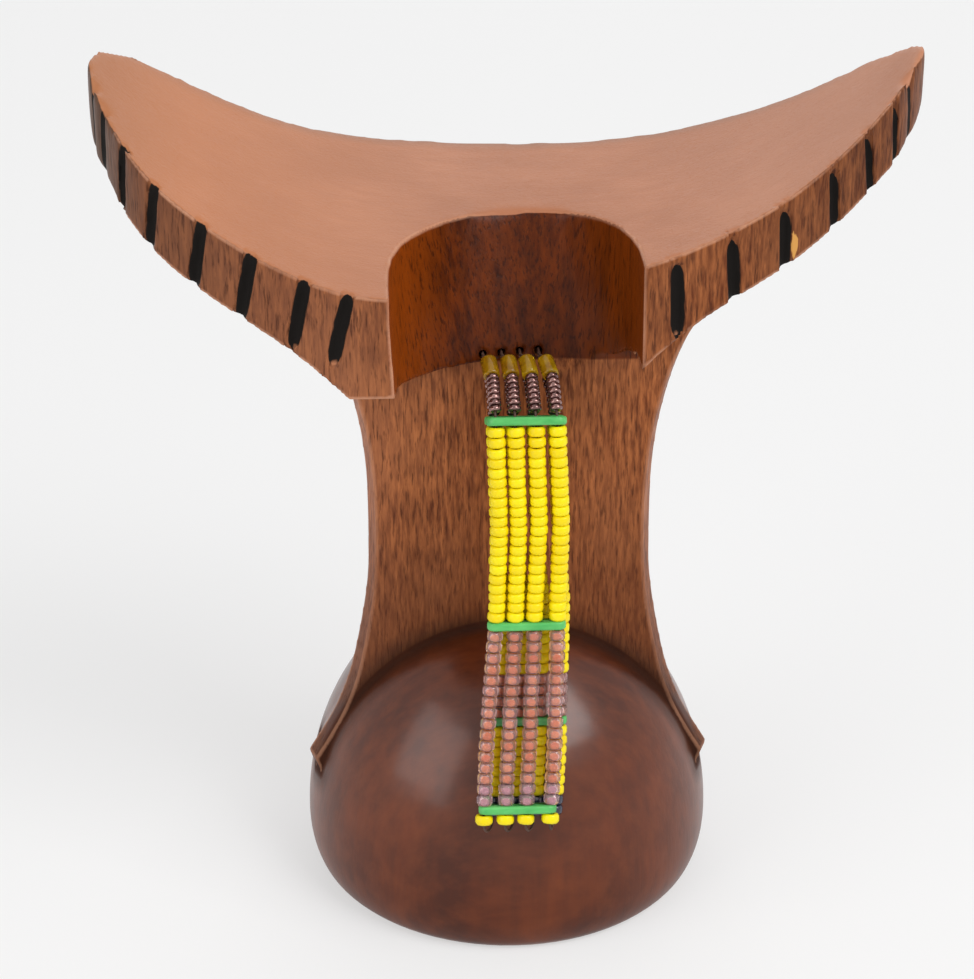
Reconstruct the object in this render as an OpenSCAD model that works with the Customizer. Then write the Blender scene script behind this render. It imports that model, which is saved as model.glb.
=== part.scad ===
// Carved wooden headrest stool with a hanging strap of glass beads.
// Units are millimetres. X runs from tip to tip of the seat, the front faces -Y, Z is up.
// The origin is on the floor, at the middle of the object's outline.

/* [Seat] */
// Width of the seat from tip to tip
seat_w = 179; // [150:1:220]
// Height of the seat's lowest line above the floor
seat_low = 164.4; // [150:0.2:190]
// Rise of the tips above the seat's lowest line
tip_rise = 38; // [25:1:50]
// Thickness of the wings at their edge
wing_t = 15.5; // [10:0.5:22]
// Reach of the front edge in front of the middle
front_reach = 47.5; // [38:0.5:60]
// Reach of the rear edge behind the middle
rear_reach = 42.3; // [34:0.5:55]
// Turn of the saddle's valley against the column, in degrees
valley_turn = 6; // [0:0.5:8]

/* [Column] */
// Thickness of the column, front to back
column_t = 21; // [14:0.5:28]
// Width of the column at its waist
waist_w = 64; // [46:1:80]
// Width of the column where it meets the seat
shoulder_w = 78; // [60:1:96]
// Width across the two lugs at the column's foot
lug_w = 94; // [80:1:110]
// Thickness of the column's front edge before it narrows to the back
edge_t = 4.5; // [2:0.5:8]
// How much narrower each side of the column is at its back
back_taper = 6; // [0:0.5:8]

/* [Foot] */
// Radius of the round foot at its widest
foot_r = 47.5; // [40:0.5:60]
// Radius of the flat face that stands on the floor
foot_base_r = 43; // [34:0.5:46]
// Height of the widest line of the foot
foot_belly_z = 12; // [6:0.5:18]
// Height of the top of the foot's dome
foot_top_z = 68; // [50:0.5:84]

/* [Notch and grooves] */
// Width of the scooped notch in the front edge
notch_w = 53.5; // [30:0.5:64]
// How far the notch stops behind the middle, at the seat's surface
notch_back = 1.8; // [-6:0.2:6]
// Width of a burnt groove at the middle of the front edge
groove_w = 3.4; // [1.5:0.1:5]
// Depth of a burnt groove
groove_depth = 1.6; // [0.6:0.1:3]

/* [Strap] */
// Diameter of a strung thread
thread_d = 0.6; // [0.4:0.1:0.8]
// Diameter of each drilled hole behind a strand
hole_d = 2; // [1.8:0.1:2.6]
// Slope of the drilled holes down to the back of the column, in degrees
hole_tilt = 12; // [10:1:16]
// Distance between the front run and the rear run of the strap
run_gap = 4.4; // [4.2:0.1:5]
// Diameter of a yellow bead
yellow_d = 4; // [3.4:0.1:4.1]
// Length of a yellow bead
yellow_l = 2.13; // [1.8:0.01:2.2]
// Diameter of a lilac bead
lilac_d = 3.7; // [3.2:0.1:4.1]
// Length of a lilac bead
lilac_l = 2.35; // [1.8:0.05:2.4]
// Diameter of a dark bead
dark_d = 2.8; // [2.4:0.1:3.2]
// Length of a dark bead
dark_l = 1.1; // [0.9:0.05:1.2]
// Diameter of a tube bead
tube_d = 3.7; // [2.6:0.1:3.8]
// Length of a tube bead
tube_l = 5.2; // [4.6:0.1:5.6]
// Width of a green spacer bar
bar_w = 17.4; // [17.2:0.2:19]
// Thickness of a green spacer bar along the strands
bar_t = 1.9; // [1.2:0.1:2]
// Depth of a green spacer bar, front to back
bar_depth = 3.8; // [3:0.1:4]
// Diameter of a knot behind the column
knot_d = 3.9; // [3.2:0.1:4.1]

/* [Hidden] */
$fn = 48;

wood = [0.52, 0.27, 0.15];
burnt = [0.12, 0.08, 0.06];
yellow = [0.97, 0.88, 0.06];
green = [0.22, 0.70, 0.34];
lilac = [0.70, 0.45, 0.48];
maroon = [0.24, 0.10, 0.11];
amber = [0.72, 0.58, 0.12];
navy = [0.07, 0.10, 0.20];
thread_colour = [0.90, 0.88, 0.80];

// Clearance between neighbouring beads on a thread
bead_gap = 0.15;
// The dark beads hang where the strand bends, and need a little more
dark_gap = 0.2;
// Bore of every bead and bar
bead_bore = thread_d + 0.5;
// Smallest radius left between a bead's bore and its rounded rim
rim_min = 0.15;
// Height of the thin slice at each end of a hull
sliver = 0.01;
// A piece takes its direction from its strand this far before and behind it
reach = 0.7;

// Smooth curve through control points: a Catmull-Rom blend with steps between neighbours
function blend(a, b, c, d, t) =
  0.5 * (2 * b + (c - a) * t + (2 * a - 5 * b + 4 * c - d) * t * t + (3 * b - a - 3 * c + d) * t * t * t);
function smooth(p, steps) = let (n = len(p)) concat(
  [for (i = [0:n - 2]) for (k = [0:steps - 1])
    blend(p[max(i - 1, 0)], p[i], p[i + 1], p[min(i + 2, n - 1)], k / steps)],
  [p[n - 1]]);
// Mirror image of an outline's points, without those on the middle line
function flip(p) = [for (i = [len(p) - 1:-1:0]) if (p[i].x != 0) [-p[i].x, p[i].y]];

// Seat profile seen from the front, right half, from the middle outwards.
// Each point is a share of the half width and a share of the tip's rise above the lowest line.
TOP_SHAPE = [[0, 0], [0.16, 0.013], [0.31, 0.05], [0.38, 0.082], [0.47, 0.147], [0.56, 0.234],
  [0.65, 0.342], [0.74, 0.471], [0.83, 0.628], [0.9, 0.775], [0.945, 0.89], [0.968, 0.955]];
TIP_SHAPE = [[0.984, 0.98], [0.995, 0.95], [1, 0.88], [0.998, 0.76], [0.988, 0.63], [0.97, 0.52]];
// The underside is given as its drop below the lowest line, in shares of the wing's thickness,
// and then as a share of the rise, so that a thicker wing grows downwards
UNDER_SHAPE = [[0.94, 0.85, 1], [0.89, 0.745, 0.98], [0.83, 0.624, 0.98], [0.74, 0.471, 1],
  [0.65, 0.342, 1], [0.56, 0.234, 1.02], [0.47, 0.147, 1.12], [0.4, 0.093, 1.29], [0.335, 0.06, 1.55],
  [0.29, 0.045, 1.83], [0.22, 0.03, 1.99], [0, 0, 1.96]];

// Seat outline seen from above: share of the half width, share of the front or rear reach.
// The left wing was carved deeper than the right one.
FRONT_SHAPE = [[-1, 0], [-0.985, -0.2], [-0.94, -0.4], [-0.89, -0.56], [-0.825, -0.68], [-0.71, -0.79],
  [-0.605, -0.87], [-0.48, -0.95], [-0.38, -0.995], [-0.3, -1], [-0.15, -0.96], [0.15, -0.82],
  [0.29, -0.75], [0.38, -0.71], [0.51, -0.65], [0.63, -0.59], [0.745, -0.485], [0.83, -0.385],
  [0.9, -0.285], [0.94, -0.2], [0.985, -0.06]];
REAR_SHAPE = [[1, 0.02], [0.98, 0.17], [0.95, 0.31], [0.915, 0.45], [0.83, 0.61], [0.69, 0.78],
  [0.54, 0.92], [0.38, 0.98], [0.22, 0.99], [0, 1], [-0.22, 0.995], [-0.375, 0.93], [-0.52, 0.82],
  [-0.665, 0.73], [-0.805, 0.615], [-0.905, 0.45], [-0.955, 0.27], [-0.985, 0.14]];

// Underside seen from the side: share of the front reach, rise above the belly in shares of its depth
BELLY_SHAPE = [[0, 0], [0.22, 0.015], [0.38, 0.04], [0.55, 0.08], [0.8, 0.19], [1, 0.3], [1.4, 0.5]];
// Depth of the seat's thick middle, from its lowest line to the belly
belly_t = 2 * wing_t - 0.6;

half_w = seat_w / 2;
// The valley's turn narrows the profile a little, so it is cut that much wider
profile_w = half_w / cos(valley_turn);
top_line = smooth([for (p = TOP_SHAPE) [p.x * profile_w, seat_low + p.y * tip_rise]], 3);
tip_line = [for (p = TIP_SHAPE) [p.x * profile_w, seat_low + p.y * tip_rise]];
under_line = smooth([for (p = UNDER_SHAPE)
  [p.x * profile_w, seat_low + p.y * tip_rise - p.z * wing_t]], 2);
front_line = smooth([for (p = FRONT_SHAPE) [p.x * half_w, p.y * front_reach]], 3);
rear_line = smooth([for (p = REAR_SHAPE) [p.x * half_w, p.y * rear_reach]], 3);
belly_line = smooth([for (p = BELLY_SHAPE) [p.x * front_reach, seat_low - belly_t + p.y * belly_t]], 2);

// Column outline, right half, from the foot upwards. Low points: share of the dome's height and
// how far the half width has gone from the waist to the lugs. High points: share of the height
// between the dome and the seat, and how far it has gone from the waist to the shoulder.
LOW_SHAPE = [[0.32, 0.66], [0.395, 0.9], [0.455, 1], [0.5, 0.88], [0.56, 0.73], [0.66, 0.51],
  [0.79, 0.31], [0.97, 0.14]];
HIGH_SHAPE = [[0.093, 0.07], [0.207, 0], [0.342, 0.01], [0.456, 0.13], [0.539, 0.32], [0.622, 0.6],
  [0.695, 0.95], [0.757, 1.38], [0.825, 2.05], [0.89, 2.85]];
clear_h = seat_low - foot_top_z;
waist_r = waist_w / 2;
low_line = [for (p = LOW_SHAPE) [waist_r + p.y * (lug_w - waist_w) / 2, p.x * foot_top_z]];
high_line = [for (p = HIGH_SHAPE) [waist_r + p.y * (shoulder_w - waist_w) / 2, foot_top_z + p.x * clear_h]];
// The lug's corner stays sharp, and the rest of the edge is one smooth curve
column_edge = concat([low_line[0], low_line[1]], smooth(concat([for (i = [2:7]) low_line[i]], high_line), 3));
// The column ends inside the seat, this far below the seat's lowest line
column_top_in = 3;

// Notch outline at the seat's surface and at the belly, from the left corner round to the right:
// share of the notch's half width, and how far it stays in front of the deepest point, in the
// same shares. The wall leans forward as it goes down and reaches the column's face at the belly.
NOTCH_TOP = [[-1, 1.66], [-1, 1.32], [-0.97, 1.05], [-0.89, 0.77], [-0.8, 0.6], [-0.66, 0.4], [-0.5, 0.23],
  [-0.32, 0.1], [-0.12, 0.02], [0.1, 0], [0.35, 0.05], [0.58, 0.19], [0.72, 0.33], [0.85, 0.53], [0.94, 0.8],
  [0.98, 1.03], [0.99, 1.3], [0.99, 1.66]];
NOTCH_LOW = [[-0.93, 1.66], [-0.93, 0.9], [-0.88, 0.68], [-0.77, 0.51], [-0.6, 0.35], [-0.37, 0.21],
  [-0.11, 0.1], [0.19, 0.02], [0.45, 0], [0.67, 0.03], [0.84, 0.12], [0.95, 0.27], [0.99, 0.5], [1, 0.9],
  [1, 1.66]];
notch_r = notch_w / 2;
// The cutter reaches past the seat's surface and past the belly, along the lean of the wall
notch_over = 4.5;
notch_under = 3;
notch_top_back = notch_back + 1.2;
notch_low_back = 0.1 - column_t / 2;
function notch_outline(shape, back) = concat([for (p = shape) [p.x * notch_r, back - p.y * notch_r]],
  [[notch_r, -2 * front_reach], [-notch_r, -2 * front_reach]]);

// Grooves burnt into the front edge: share of the half width, lean outwards, share of the width
GROOVES = [[-0.408, 13, 1], [-0.503, 12, 1], [-0.623, 12, 1], [-0.733, 10, 0.95], [-0.838, 9, 0.9],
  [-0.909, 7, 0.75], [-0.96, 5, 0.6], [-0.984, 4, 0.5], [0.378, -2, 1], [0.512, -4, 0.9],
  [0.636, -3, 0.9], [0.756, -5, 0.8], [0.844, -8, 0.7], [0.91, -6, 0.6], [0.95, -8, 0.5]];

// Foot profile: flat base, rounded lower rim, then a quarter ellipse to the top of the dome
foot_rim = [for (a = [0:15:90]) [foot_base_r + (foot_r - foot_base_r) * sin(a), foot_belly_z * (1 - cos(a))]];
foot_dome = [for (a = [5:5:90]) [foot_r * cos(a), foot_belly_z + (foot_top_z - foot_belly_z) * sin(a)]];
foot_line = concat([[0, 0]], foot_rim, foot_dome);

module seat() {
  profile = concat(top_line, tip_line, under_line);
  intersection() {
    rotate([0, 0, -valley_turn]) rotate([90, 0, 0]) linear_extrude(4 * front_reach, center = true)
      polygon(concat(profile, flip(profile)));
    linear_extrude(2 * seat_low) polygon(concat(front_line, rear_line));
    rotate([90, 0, 90]) linear_extrude(2 * seat_w, center = true)
      polygon(concat(belly_line, [[2 * front_reach, seat_low + 2 * tip_rise],
        [-2 * front_reach, seat_low + 2 * tip_rise]], flip(belly_line)));
  }
}

module column() {
  top_z = seat_low - column_top_in;
  half = concat(column_edge, [[column_edge[len(column_edge) - 1].x, top_z]]);
  outline = concat(half, flip(half));
  slant = atan2(back_taper, column_t - edge_t);
  // Two slanting copies of the outline share the full width at the front edge and less behind it
  intersection() {
    rotate([90, 0, 0]) linear_extrude(column_t, center = true) polygon(outline);
    slanted(slant) polygon([for (p = outline) [p.x * cos(slant), p.y]]);
    slanted(-slant) polygon([for (p = outline) [p.x * cos(slant), p.y]]);
  }
}

module slanted(angle) {
  translate([0, edge_t - column_t / 2, 0]) rotate([0, 0, angle]) rotate([90, 0, 0])
    linear_extrude(3 * column_t, center = true) children();
}

module foot() {
  rotate_extrude($fn = 96) polygon(foot_line);
}

module notch() {
  hull() {
    translate([0, 0, seat_low - belly_t - notch_under]) linear_extrude(sliver)
      polygon(notch_outline(NOTCH_LOW, notch_low_back));
    translate([0, 0, seat_low + notch_over]) linear_extrude(sliver)
      polygon(notch_outline(NOTCH_TOP, notch_top_back));
  }
}

module grooves() {
  for (g = GROOVES) {
    x = g.x * half_w;
    y = lookup(x, front_line);
    run = atan2(lookup(x + 1, front_line) - lookup(x - 1, front_line), 2);
    z = lookup(abs(x), top_line) - wing_t / 2;
    translate([x, y, z]) rotate([0, g.y, run])
      cube([groove_w * g.z, 2 * groove_depth, 3 * wing_t], center = true);
  }
}

// The four holes start side by side in the notch's wall, just above its lower edge, and slope down
// to the back of the column. The strap swings about a line just in front of the wall.
strand_pitch = 4.1;
hole_x = [for (i = [0:3]) (i - 1.5) * strand_pitch];
swing_z = seat_low - belly_t + 2.2;
column_face = column_t / 2;
swing_gap = 2.9;
// Height of the holes at the back of the column
knot_z = swing_z - (column_t + swing_gap) * tan(hole_tilt);

// Stands a piece made along Z in a hole, from the swing line to the back
module in_hole(x) {
  translate([x, -column_face - swing_gap, swing_z]) rotate([-90 - hole_tilt, 0, 0]) children();
}

module holes() {
  for (x = hole_x)
    in_hole(x) cylinder(d = hole_d, h = 2 * column_t);
}

module carved_body() {
  color(wood) difference() {
    union() {
      seat();
      column();
      foot();
    }
    notch();
    color(burnt) grooves();
    holes();
  }
}

// Routes of the strap's two runs, chosen by hand: distance in front of the column's face, and
// height above the swing line. The strands leave the holes, bend over and hang down to the foot.
FRONT_ROUTE = [[2.9, 0.35], [5, -0.05], [8, -1.05], [11, -2.05], [14, -3.6], [16.8, -5.6], [17.9, -6.9],
  [18.8, -8.4], [19.9, -12], [20.5, -16], [22, -31.6], [23.1, -42], [24.4, -52.1], [27.6, -65.1],
  [33.3, -82.6], [38.8, -98.1]];
REAR_START = [[2.9, -0.35], [4.2, -1.9], [5.6, -3.6], [7.4, -5.2], [9.6, -6.7], [11.6, -8.5],
  [13.2, -10.9], [14.6, -14.4], [15.6, -18], [16.2, -22]];
// Below this point of the front run, the rear run keeps one distance behind it
follow_from = 10;
function heading(p, i) = let (d = p[min(i + 1, len(p) - 1)] - p[max(i - 1, 0)]) d / norm(d);
rear_route = concat(REAR_START, [for (i = [follow_from:len(FRONT_ROUTE) - 1])
  let (d = heading(FRONT_ROUTE, i)) FRONT_ROUTE[i] + run_gap * [d.y, -d.x]]);

// A run is its smooth curve with the distance along it: one table for each direction
function steps_along(p) = [for (i = 0, s = 0; i < len(p);
  s = s + (i + 1 < len(p) ? norm(p[i + 1] - p[i]) : 0), i = i + 1) s];
// A run also holds its length, and how far each strand is shifted sideways along the way
function run_of(route, shift) = let (p = smooth(route, 6), s = steps_along(p))
  [[for (i = [0:len(p) - 1]) [s[i], p[i].x]], [for (i = [0:len(p) - 1]) [s[i], p[i].y]],
    s[len(s) - 1], shift];
front_run = run_of(FRONT_ROUTE, [[0, [0, 0, 0, 0]]]);
rear_run = run_of(rear_route,
  [[0, [0, 0, 0, 0]], [49, [0, 0, 0, 0]], [60, [2, 2, 1.9, 1]], [112, [2.2, 2.2, 2.2, 1.1]]]);

// Sideways place of the four strands: distance along the front run, then one value for each strand
STRAND_PLACES = [[0, hole_x], [2.2, [-5.1, -0.8, 3.2, 7.3]], [8.4, [-4.4, -0.2, 4.1, 8.6]],
  [18.5, [-4.1, 0.1, 4.6, 9.2]], [42, [-3.4, 0.8, 5.3, 10.1]], [62.8, [-4.1, 0.1, 4.3, 9.4]],
  [76, [-5.2, -0.6, 3.8, 9.1]], [94.6, [-6.8, -1.9, 2.8, 8.4]], [112, [-7.6, -2.9, 1.7, 7.2]]];
// Sideways place of strand k on a run, at distance s along a line of the given whole length
function of_strand(table, k, t) = lookup(t, [for (p = table) [p[0], p[1][k]]]);
function strand_x(run, k, s, length) = let (t = s * front_run[2] / length)
  of_strand(STRAND_PLACES, k, t) + of_strand(run[3], k, t);
function place(run, k, s) =
  [strand_x(run, k, s, run[2]), -column_face - lookup(s, run[0]), swing_z + lookup(s, run[1])];

// Where each group starts along its run
function pitch(length) = length + bead_gap;
dark_count = 7;
dark_run = dark_count * (dark_l + dark_gap);
yellow_count = 20;
lilac_count = 16;
rear_end_count = 2;
rear_low_count = 7;
rear_lilac_count = 4;
// A bar needs this much more room where the strand still bends
bend_room = 1.1;
tube_start = 1.9;
dark_start = tube_start + pitch(tube_l);
top_bar_s = dark_start + dark_run + bend_room;
yellow_start = top_bar_s + pitch(bar_t);
middle_bar_s = yellow_start + yellow_count * pitch(yellow_l);
lilac_start = middle_bar_s + pitch(bar_t);
bottom_bar_s = lilac_start + lilac_count * pitch(lilac_l);
end_bead_s = bottom_bar_s + pitch(bar_t);
// The rear run's lower half is strung from the turn upwards, and its upper beads fill what is left
turn_room = 0.6;
rear_end_start = rear_run[2] - turn_room - rear_end_count * pitch(yellow_l);
rear_low_start = rear_end_start - rear_low_count * pitch(yellow_l);
rear_low_bar_s = rear_low_start - pitch(bar_t);
rear_lilac_start = rear_low_bar_s - rear_lilac_count * pitch(lilac_l);
rear_dark_start = 4.4;
rear_bar_s = rear_dark_start + dark_run + bead_gap;
rear_high_start = rear_bar_s + pitch(bar_t);
rear_high_room = rear_lilac_start - rear_high_start;
rear_high_count = floor(rear_high_room / pitch(yellow_l));
rear_high_gap = rear_high_room / rear_high_count - yellow_l;

// Stands a piece made along Z on its strand, centred at distance s
module on_strand(run, k, s) {
  a = place(run, k, s - reach);
  b = place(run, k, s + reach);
  d = (a - b) / norm(a - b);
  translate(place(run, k, s)) rotate([0, acos(d.z), atan2(d.y, d.x)]) children();
}

// A bead with a bore and a rounded rim
module bead(d, length) {
  rim = min(length / 2, d / 2 - bead_bore / 2 - rim_min);
  inner = bead_bore / 2;
  rotate_extrude($fn = 36) {
    translate([inner, -length / 2]) square([d / 2 - rim - inner, length]);
    if (length > 2 * rim) translate([inner, rim - length / 2]) square([d / 2 - inner, length - 2 * rim]);
    for (side = [-1, 1]) intersection() {
      translate([d / 2 - rim, side * (length / 2 - rim)]) circle(rim, $fn = 20);
      translate([inner, -length / 2]) square([d, length]);
    }
  }
}

module beads(run, strands, start, count, d, length, gap = bead_gap) {
  for (k = strands) for (i = [0:count - 1])
    on_strand(run, k, start + (i + 0.5) * (length + gap)) bead(d, length);
}

// A flat bar with rounded ends that all four strands pass through
module bar(run, start) {
  s = start + bar_t / 2;
  a = place(run, 0, s - reach);
  b = place(run, 0, s + reach);
  tilt = atan2(b.y - a.y, a.z - b.z);
  middle = (place(run, 0, s) + place(run, 3, s)) / 2;
  x_in = (bar_w - bar_depth) / 2;
  color(green) difference() {
    translate(middle) rotate([tilt, 0, 0]) translate([0, 0, -bar_t / 2]) {
      for (side = [-1, 1]) translate([side * x_in, 0, 0]) cylinder(d = bar_depth, h = bar_t);
      translate([-x_in, -bar_depth / 2, 0]) cube([2 * x_in, bar_depth, bar_t]);
    }
    for (k = [0:3]) translate(place(run, k, s)) rotate([tilt, 0, 0])
      cylinder(d = bead_bore, h = 2 * bar_t, center = true);
  }
}

// A thread runs down its strand, turns under the bottom bar and comes back up behind
thread_sides = 8;
function turn_of(a, b, d) = let (c = (a + b) / 2, n = (a - b) / 2)
  [for (t = [45:45:135]) c + n * cos(t) + d * norm(n) * sin(t)];
last_front = FRONT_ROUTE[len(FRONT_ROUTE) - 1];
last_rear = rear_route[len(rear_route) - 1];
down = heading(FRONT_ROUTE, len(FRONT_ROUTE) - 1);
// The points of one route on strand k
function strand_points(run, route, k) = let (s = steps_along(route), n = len(route))
  [for (i = [0:n - 1]) [strand_x(run, k, s[i], s[n - 1]), -column_face - route[i].x, swing_z + route[i].y]];
function thread_points(k) =
  let (front = strand_points(front_run, FRONT_ROUTE, k), rear = strand_points(rear_run, rear_route, k),
    a = front[len(front) - 1], b = rear[len(rear) - 1], turn = turn_of(last_front, last_rear, down))
  concat(front, [for (i = [0:2])
    [a.x + (i + 1) / 4 * (b.x - a.x), -column_face - turn[i].x, swing_z + turn[i].y]],
    [for (i = [len(rear) - 1:-1:0]) rear[i]]);
function ring(p, i, r) = let (d = p[min(i + 1, len(p) - 1)] - p[max(i - 1, 0)], u = d / norm(d),
  side = cross(u, [1, 0, 0]), v = side / norm(side), w = cross(u, v),
  step = 360 / thread_sides)
  [for (j = [0:thread_sides - 1]) p[i] + r * (v * cos(j * step) + w * sin(j * step))];

module thread(k) {
  p = thread_points(k);
  n = len(p);
  m = thread_sides;
  points = [for (i = [0:n - 1]) each ring(p, i, thread_d / 2)];
  sides = [for (i = [0:n - 2]) for (j = [0:m - 1])
    [i * m + j, i * m + (j + 1) % m, (i + 1) * m + (j + 1) % m, (i + 1) * m + j]];
  color(thread_colour) polyhedron(points, concat([[for (j = [m - 1:-1:0]) j]], sides,
    [[for (j = [0:m - 1]) (n - 1) * m + j]]));
}

// Behind the column, each strand's two ends are knotted and cut short
knot_t = 0.8 * knot_d;
tail_l = 5;
// A hole's two threads lie this far above and below its middle
thread_side = 0.35;
// The threads in the hole end this far from the swing line and inside the back of the column
end_gap = 0.75;

module knots() {
  color(thread_colour) for (x = hole_x)
    translate([x, column_face + knot_t / 2, knot_z]) rotate([90, 0, 0]) intersection() {
      sphere(d = knot_d);
      cylinder(d = 2 * knot_d, h = knot_t, center = true);
    }
}

module thread_ends() {
  in_hole_l = (column_t + swing_gap) / cos(hole_tilt) - 1.3 * end_gap;
  color(thread_colour) for (x = hole_x) for (side = [-1, 1]) {
    in_hole(x) translate([0, side * thread_side, end_gap]) cylinder(d = thread_d, h = in_hole_l - end_gap);
    translate([x, column_face + knot_t, knot_z + side * thread_side]) rotate([-90, 0, 0])
      cylinder(d = thread_d, h = tail_l + side);
  }
}

module thread_1() thread(0);
module thread_2() thread(1);
module thread_3() thread(2);
module thread_4() thread(3);
module front_tube_beads() color(amber) beads(front_run, [0:3], tube_start, 1, tube_d, tube_l);
module front_dark_beads() color(maroon)
  beads(front_run, [0:3], dark_start, dark_count, dark_d, dark_l, dark_gap);
module front_top_bar() bar(front_run, top_bar_s);
module front_yellow(k) color(yellow) beads(front_run, [k], yellow_start, yellow_count, yellow_d, yellow_l);
module front_yellow_strand_1() front_yellow(0);
module front_yellow_strand_2() front_yellow(1);
module front_yellow_strand_3() front_yellow(2);
module front_yellow_strand_4() front_yellow(3);
module front_middle_bar() bar(front_run, middle_bar_s);
module front_lilac(k) color(lilac) beads(front_run, [k], lilac_start, lilac_count, lilac_d, lilac_l);
module front_lilac_strand_1() front_lilac(0);
module front_lilac_strand_2() front_lilac(1);
module front_lilac_strand_3() front_lilac(2);
module front_lilac_strand_4() front_lilac(3);
module bottom_bar() bar(front_run, bottom_bar_s);
module end_beads() color(yellow) beads(front_run, [0:3], end_bead_s, 1, yellow_d, yellow_l);
module rear_end_beads() color(navy)
  beads(rear_run, [0:3], rear_end_start, rear_end_count, yellow_d, yellow_l);
module rear_low(k) color(yellow) beads(rear_run, [k], rear_low_start, rear_low_count, yellow_d, yellow_l);
module rear_low_strand_1() rear_low(0);
module rear_low_strand_2() rear_low(1);
module rear_low_strand_3() rear_low(2);
module rear_low_strand_4() rear_low(3);
module rear_low_bar() bar(rear_run, rear_low_bar_s);
module rear_lilac_beads() color(lilac)
  beads(rear_run, [0:3], rear_lilac_start, rear_lilac_count, lilac_d, lilac_l);
module rear_high(k) color(yellow)
  beads(rear_run, [k], rear_high_start, rear_high_count, yellow_d, yellow_l, rear_high_gap);
module rear_high_strand_1() rear_high(0);
module rear_high_strand_2() rear_high(1);
module rear_high_strand_3() rear_high(2);
module rear_high_strand_4() rear_high(3);
module rear_top_bar() bar(rear_run, rear_bar_s);
module rear_dark_beads() color(maroon)
  beads(rear_run, [0:3], rear_dark_start, dark_count, dark_d, dark_l, dark_gap);

carved_body();
knots();
thread_ends();
thread_1();
thread_2();
thread_3();
thread_4();
front_tube_beads();
front_dark_beads();
front_top_bar();
front_yellow_strand_1();
front_yellow_strand_2();
front_yellow_strand_3();
front_yellow_strand_4();
front_middle_bar();
front_lilac_strand_1();
front_lilac_strand_2();
front_lilac_strand_3();
front_lilac_strand_4();
bottom_bar();
end_beads();
rear_end_beads();
rear_low_strand_1();
rear_low_strand_2();
rear_low_strand_3();
rear_low_strand_4();
rear_low_bar();
rear_lilac_beads();
rear_high_strand_1();
rear_high_strand_2();
rear_high_strand_3();
rear_high_strand_4();
rear_top_bar();
rear_dark_beads();
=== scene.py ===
# Carved wooden headrest stool with a hanging strap of glass beads, dressed around its CAD frame.
import math
import random

import bmesh
import bpy
import numpy as np
from mathutils import Matrix, Vector
from mathutils.bvhtree import BVHTree
from mathutils.kdtree import KDTree


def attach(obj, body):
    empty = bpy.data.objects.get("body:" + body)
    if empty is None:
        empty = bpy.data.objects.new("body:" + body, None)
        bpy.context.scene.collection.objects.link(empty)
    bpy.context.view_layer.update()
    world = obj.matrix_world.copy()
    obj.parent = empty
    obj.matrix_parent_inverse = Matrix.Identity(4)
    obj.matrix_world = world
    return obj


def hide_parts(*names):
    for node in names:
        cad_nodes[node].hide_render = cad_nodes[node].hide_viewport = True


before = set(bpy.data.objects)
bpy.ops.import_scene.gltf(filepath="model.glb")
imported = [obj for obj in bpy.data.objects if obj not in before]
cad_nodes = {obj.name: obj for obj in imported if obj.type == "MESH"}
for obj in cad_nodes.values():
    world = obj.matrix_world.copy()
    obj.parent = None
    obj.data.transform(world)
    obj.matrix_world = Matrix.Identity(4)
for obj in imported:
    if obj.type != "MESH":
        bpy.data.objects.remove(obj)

scene = bpy.context.scene
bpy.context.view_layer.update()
MM = 0.001


# Camera.
# A long lens at the photograph's place: in front of the stool, looking down at it by 28 degrees
# from a little to the left, so that the whole stool fills the frame.
camera_rise = math.radians(28)
camera_turn = math.radians(-2.5)
camera_distance = 0.7
aim = Vector((-0.0047, 0, 0.096))
view_line = Vector((0, math.cos(camera_rise), -math.sin(camera_rise)))


def looking_along(direction):
    """Turn of a camera or a lamp that looks along a direction."""
    return direction.to_track_quat("-Z", "Y").to_matrix().to_4x4()


camera_data = bpy.data.cameras.new("camera")
camera_data.sensor_fit = "HORIZONTAL"
camera_data.sensor_width = 36
camera_data.lens = 113.2
camera_data.clip_start = 0.01
camera = bpy.data.objects.new("camera", camera_data)
scene.collection.objects.link(camera)
camera.matrix_world = (Matrix.Rotation(camera_turn, 4, "Z")
                       @ Matrix.Translation(aim - camera_distance * view_line)
                       @ looking_along(view_line))
scene.camera = camera
scene.view_settings.view_transform = "Standard"


# Thread loops.
# Four waxed threads carry the beads. Each leaves its hole in the notch's wall, hangs down to the
# foot, turns under its lowest bead and climbs back behind the front run to the same hole.
thread_width = 0.6 * MM
column_face = -10.5
swing_height = 136.2
hole_places = (-6.15, -2.05, 2.05, 6.15)
# Both runs in millimetres: forwards from the column's front face, and up from the swing's hinge
front_route = [(2.9, 0.35), (5, -0.05), (8, -1.05), (11, -2.05), (14, -3.6), (16.8, -5.6),
               (17.9, -6.9), (18.8, -8.4), (19.9, -12), (20.5, -16), (22, -31.6), (23.1, -42),
               (24.4, -52.1), (27.6, -65.1), (33.3, -82.6), (38.8, -98.1)]
rear_start = [(2.9, -0.35), (4.2, -1.9), (5.6, -3.6), (7.4, -5.2), (9.6, -6.7), (11.6, -8.5),
              (13.2, -10.9), (14.6, -14.4), (15.6, -18), (16.2, -22)]
# The rear run keeps one gap behind the front run, from this point of the front run on
follow_from = 10
run_gap = 4.4
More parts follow.
